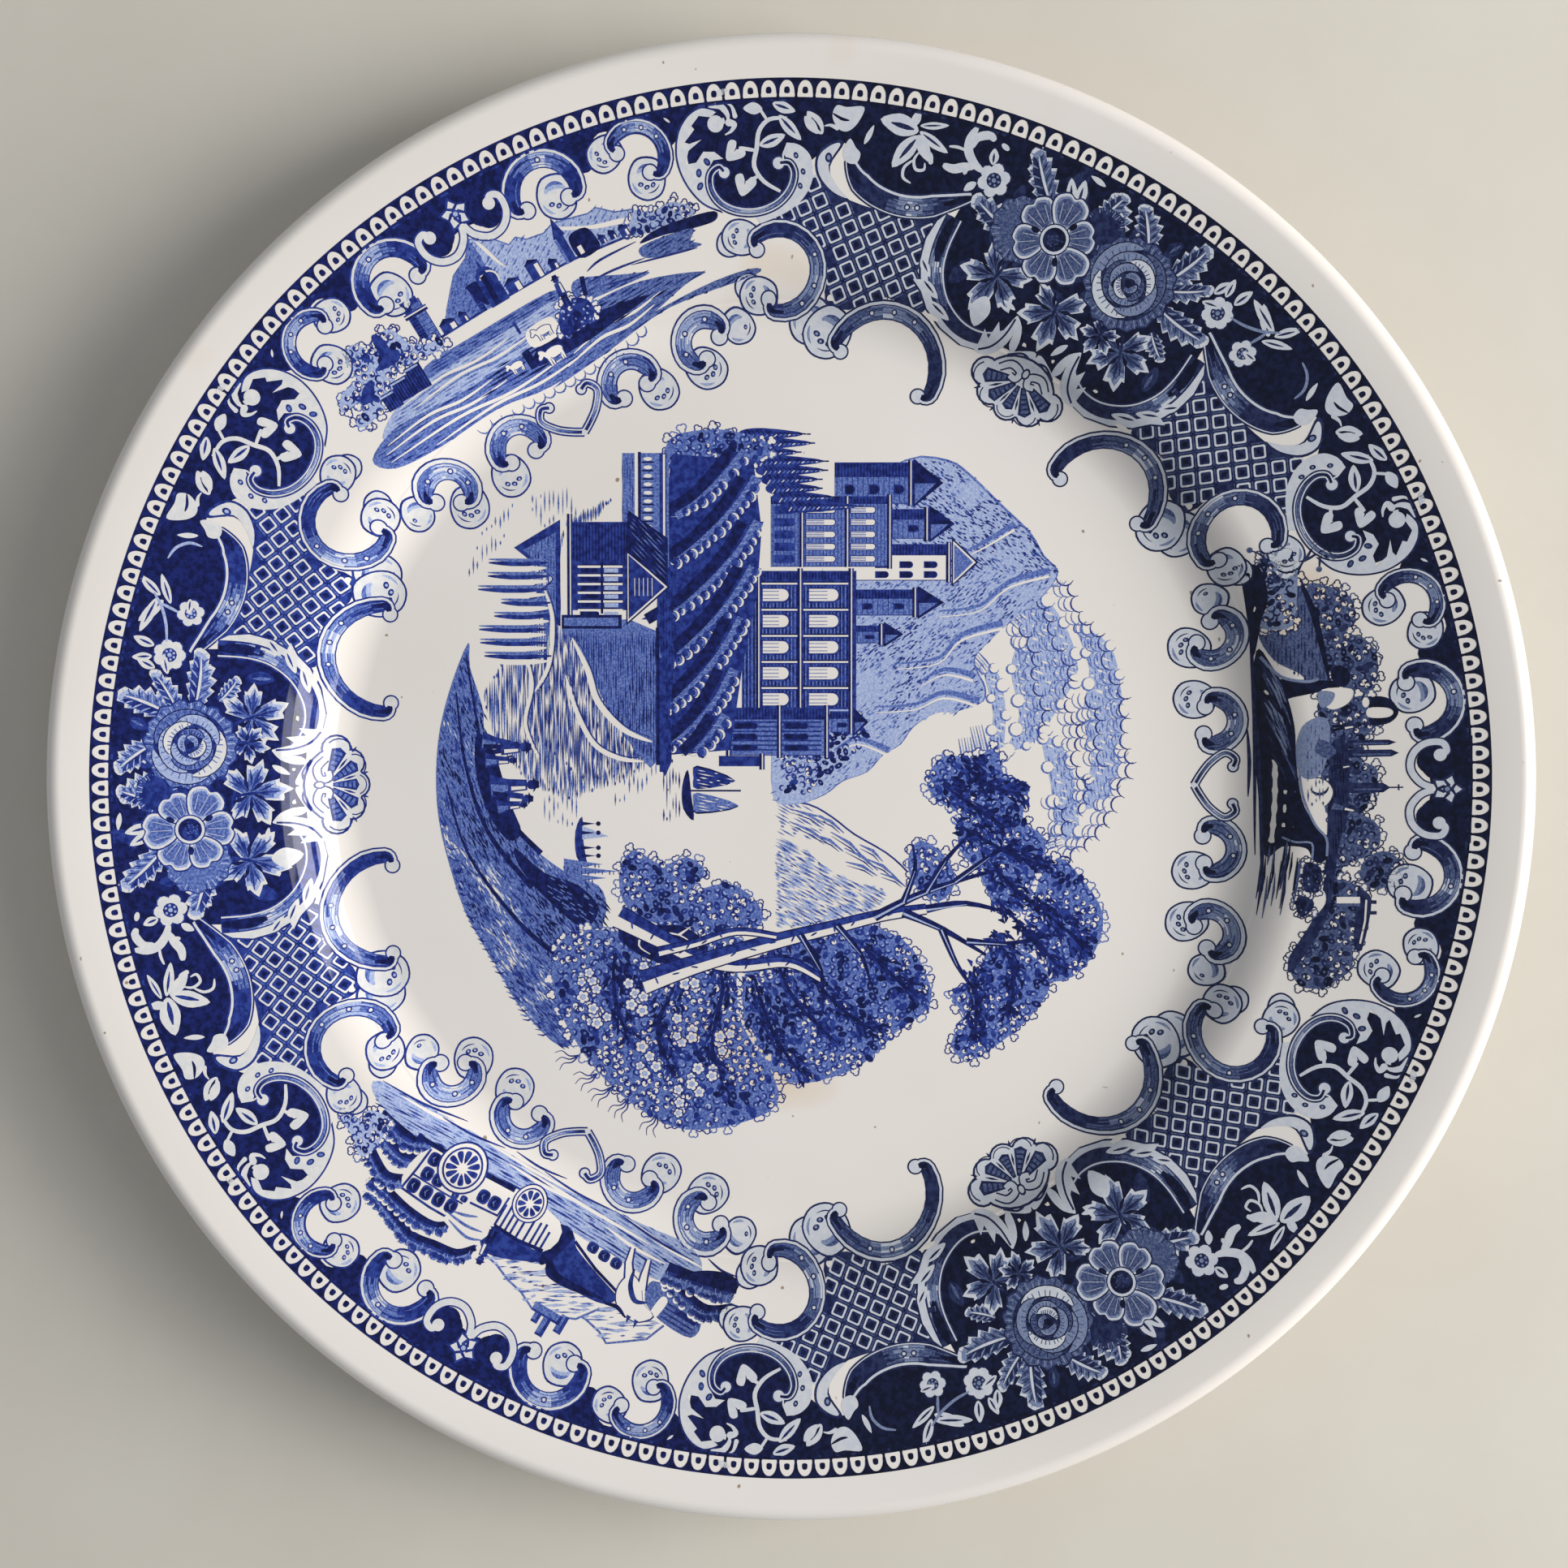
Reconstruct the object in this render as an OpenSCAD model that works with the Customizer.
// Transfer-printed earthenware plate with a glazed foot ring.
// Turned about +Z: the foot stands on z = 0 and the axis passes through the origin.
// The picture in the well stands upright along +Y.

/* [Plate] */
// Diameter over the lip
plate_d = 250; // [230:1:280]
// Thickness of the wall and of the lip, glaze included
wall_t = 5; // [4:0.25:6]
// Slope of the rim above the horizontal
rim_slope = 12; // [5:1:14]

/* [Well] */
// Diameter of the flat floor of the well
well_d = 149; // [130:1:150]
// Radius of the hollow curve between floor and wall
hollow_r = 10.5; // [10:0.5:16]
// Steepest slope of the wall between floor and rim
wall_slope = 50; // [40:1:55]
// Radius of the rounded shoulder between wall and rim
shoulder_r = 12; // [9:0.5:16]

/* [Foot] */
// How far the foot ring stands outside the flat floor
foot_out = 4; // [2:0.5:6]
// Width of the foot ring
foot_w = 4; // [3:0.5:6]
// Height of the foot ring below the base
foot_h = 2.6; // [2:0.2:4]
// Height above the table at which the wiped glaze ends
wipe_h = 1.2; // [1:0.1:1.6]

/* [Glaze and prints] */
// Thickness of the fired glaze
glaze_t = 0.3; // [0.25:0.05:0.4]
// Depth that a transfer print sinks into the glaze
film_t = 0.15; // [0.1:0.05:0.2]
// Width of the plain lip outside the chain edge
plain_w = 7.6; // [5:0.1:9]
// Width of the chain edge
chain_w = 3.6; // [3:0.1:5]
// How far the border runs in over the flat floor
border_in = 6.5; // [2:0.5:8]
// Bare ring between the border and the picture
bare_w = 6; // [2:0.5:10]
// Diameter of the wreath mark under the base
mark_d = 26; // [16:1:40]

/* [Hidden] */
$fn = 180;

earthenware = [0.88, 0.82, 0.70];
ivory_glaze = [0.94, 0.92, 0.87];
navy = [0.10, 0.13, 0.36];
cobalt = [0.20, 0.30, 0.62];
pale_cobalt = [0.42, 0.52, 0.78];

// Three border transfers meet behind the bouquets. Each is centred on its own vignette
border_sector = 120;
boat_direction = 90;
village_direction = 210;
wagon_direction = 330;

arc_steps = 14;
foot_edge_r = 0.8;
foot_edge_steps = 4;

floor_z = foot_h + wall_t;
lip_r = wall_t / 2;
well_r = well_d / 2;
foot_outer_r = well_r + foot_out;
foot_inner_r = foot_outer_r - foot_w;
chain_outer_r = plate_d / 2 - plain_w;
chain_inner_r = chain_outer_r - chain_w;
border_inner_r = well_r - border_in;
scene_r = border_inner_r - bare_w;
mark_r = mark_d / 2;

// Centres of the curves of the upper surface, from the floor out to the lip
hollow_c = [well_r, floor_z + hollow_r];
shoulder_c = hollow_c + (hollow_r + shoulder_r) * [sin(wall_slope), -cos(wall_slope)];
rim_start = shoulder_c + shoulder_r * [-sin(rim_slope), cos(rim_slope)];
lip_top_x = plate_d / 2 - lip_r - lip_r * sin(rim_slope);
lip_c = [lip_top_x, rim_z(lip_top_x, 0)] + lip_r * [sin(rim_slope), -cos(rim_slope)];

// Points of an arc about c from angle a0 to angle a1
function arc(c, r, a0, a1, steps = arc_steps) =
    [for (i = [0:steps]) let (a = a0 + (a1 - a0) * i / steps) c + r * [cos(a), sin(a)]];

function reversed(points) = [for (i = [len(points) - 1:-1:0]) points[i]];

// Height of the rim at radius x, at depth d below the face of the glaze
function rim_z(x, d) = rim_start.y + (x - rim_start.x) * tan(rim_slope) - d / cos(rim_slope);

function floor_point(x, d) = [x, floor_z - d];

function rim_point(x, d) = [x, rim_z(x, d)];

// Upper face between floor and rim, at depth d
function well_wall(d) = concat(
    arc(hollow_c, hollow_r + d, -90, wall_slope - 90),
    arc(shoulder_c, shoulder_r - d, 90 + wall_slope, 90 + rim_slope)
);

// Rounded lip and then the under side, in to the outer wall of the foot, at depth d
function lip_and_back(d) =
    let (foot_angle = asin((foot_outer_r - d - well_r) / (hollow_r + wall_t - d)))
    concat(
        arc(lip_c, lip_r - d, 90 + rim_slope, rim_slope - 90),
        arc(shoulder_c, shoulder_r - wall_t + d, 90 + rim_slope, 90 + wall_slope),
        arc(hollow_c, hollow_r + wall_t - d, wall_slope - 90, foot_angle - 90)
    );

// The bare foot, from its outer wall round to its inner wall
function foot_outline() = concat(
    arc([foot_outer_r - glaze_t - foot_edge_r, foot_edge_r], foot_edge_r, 0, -90, foot_edge_steps),
    arc([foot_inner_r + glaze_t + foot_edge_r, foot_edge_r], foot_edge_r, 270, 180, foot_edge_steps)
);

// Layer of the face between two depths, from a radius on the floor to a radius on the rim
function border_layer(inner_x, outer_x, d0, d1) = concat(
    [floor_point(inner_x, d0)], well_wall(d0), [rim_point(outer_x, d0)],
    [rim_point(outer_x, d1)], reversed(well_wall(d1)), [floor_point(inner_x, d1)]
);

module turned(outline) rotate_extrude() polygon(outline);

module earthenware_body() {
    color(earthenware) turned(concat(
        [floor_point(0, glaze_t)],
        well_wall(glaze_t),
        lip_and_back(glaze_t),
        foot_outline(),
        [[foot_inner_r + glaze_t, foot_h + glaze_t], [0, foot_h + glaze_t]]
    ));
}

// One coat over the face, the lip and the back, as far as the wiped foot, with beds for the prints
module face_glaze() {
    color(ivory_glaze) turned(concat(
        [floor_point(0, film_t), floor_point(scene_r, film_t)],
        [floor_point(scene_r, 0), floor_point(border_inner_r, 0), floor_point(border_inner_r, film_t)],
        well_wall(film_t),
        [rim_point(chain_outer_r, film_t), rim_point(chain_outer_r, 0)],
        lip_and_back(0),
        [[foot_outer_r, wipe_h], [foot_outer_r - glaze_t, wipe_h]],
        reversed(lip_and_back(glaze_t)),
        reversed(well_wall(glaze_t)),
        [floor_point(0, glaze_t)]
    ));
}

// The coat inside the foot ring, with a bed for the mark
module base_glaze() {
    inner_wall = foot_inner_r + glaze_t;
    color(ivory_glaze) turned([
        [inner_wall, wipe_h],
        [foot_inner_r, wipe_h],
        [foot_inner_r, foot_h],
        [mark_r, foot_h],
        [mark_r, foot_h + film_t],
        [0, foot_h + film_t],
        [0, foot_h + glaze_t],
        [inner_wall, foot_h + glaze_t],
    ]);
}

module chain_edge_transfer() {
    color(navy) turned([
        rim_point(chain_inner_r, 0),
        rim_point(chain_outer_r, 0),
        rim_point(chain_outer_r, film_t),
        rim_point(chain_inner_r, film_t),
    ]);
}

module border_transfer(direction) {
    color(cobalt)
        rotate([0, 0, direction - border_sector / 2])
            rotate_extrude(angle = border_sector)
                polygon(border_layer(border_inner_r, chain_inner_r, 0, film_t));
}

module border_transfer_boat() border_transfer(boat_direction);

module border_transfer_village() border_transfer(village_direction);

module border_transfer_wagon() border_transfer(wagon_direction);

module scene_transfer() {
    color(pale_cobalt) translate([0, 0, floor_z - film_t]) cylinder(r = scene_r, h = film_t);
}

module wreath_mark_transfer() {
    color(cobalt) translate([0, 0, foot_h]) cylinder(r = mark_r, h = film_t);
}

earthenware_body();
face_glaze();
base_glaze();
chain_edge_transfer();
border_transfer_boat();
border_transfer_village();
border_transfer_wagon();
scene_transfer();
wreath_mark_transfer();
